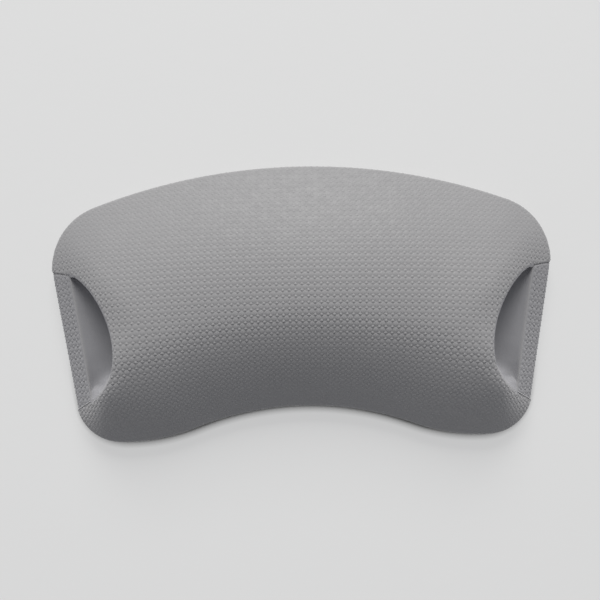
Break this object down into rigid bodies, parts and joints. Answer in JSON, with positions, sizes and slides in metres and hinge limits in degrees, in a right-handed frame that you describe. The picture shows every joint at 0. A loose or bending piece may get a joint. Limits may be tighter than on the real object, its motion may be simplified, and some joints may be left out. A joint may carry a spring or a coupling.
{
  "type": "bath pillow",
  "caption": "Arched moulded foam headrest for a bath or spa: crowned textured face, hollow lower edge for the neck, smooth finger scoop in each end, flat back with snap sockets.",
  "frame": {"origin": "middle of the flat back, on the surface that the pillow lies on", "axes": "+X along the pillow to the right as seen from the front, +Y towards the arched top edge, +Z out of the crowned face"},
  "size_m": [0.2896, 0.1579, 0.0368],
  "materials": {
    "skin": "matt grey moulded polyurethane skin with a fine diamond emboss",
    "back_skin": "matt grey moulded polyurethane skin, smooth",
    "foam": "soft open-cell polyurethane foam, matt",
    "insert": "satin moulded plastic",
    "socket": "satin moulded plastic, natural white"
  },
  "bodies": {
    "root": {"front_skin": "skin", "back_skin": "back_skin", "foam_core": "foam", "insert_plate": "insert", "pin_socket_left": "socket", "pin_socket_right": "socket"}
  },
  "joints": []
}
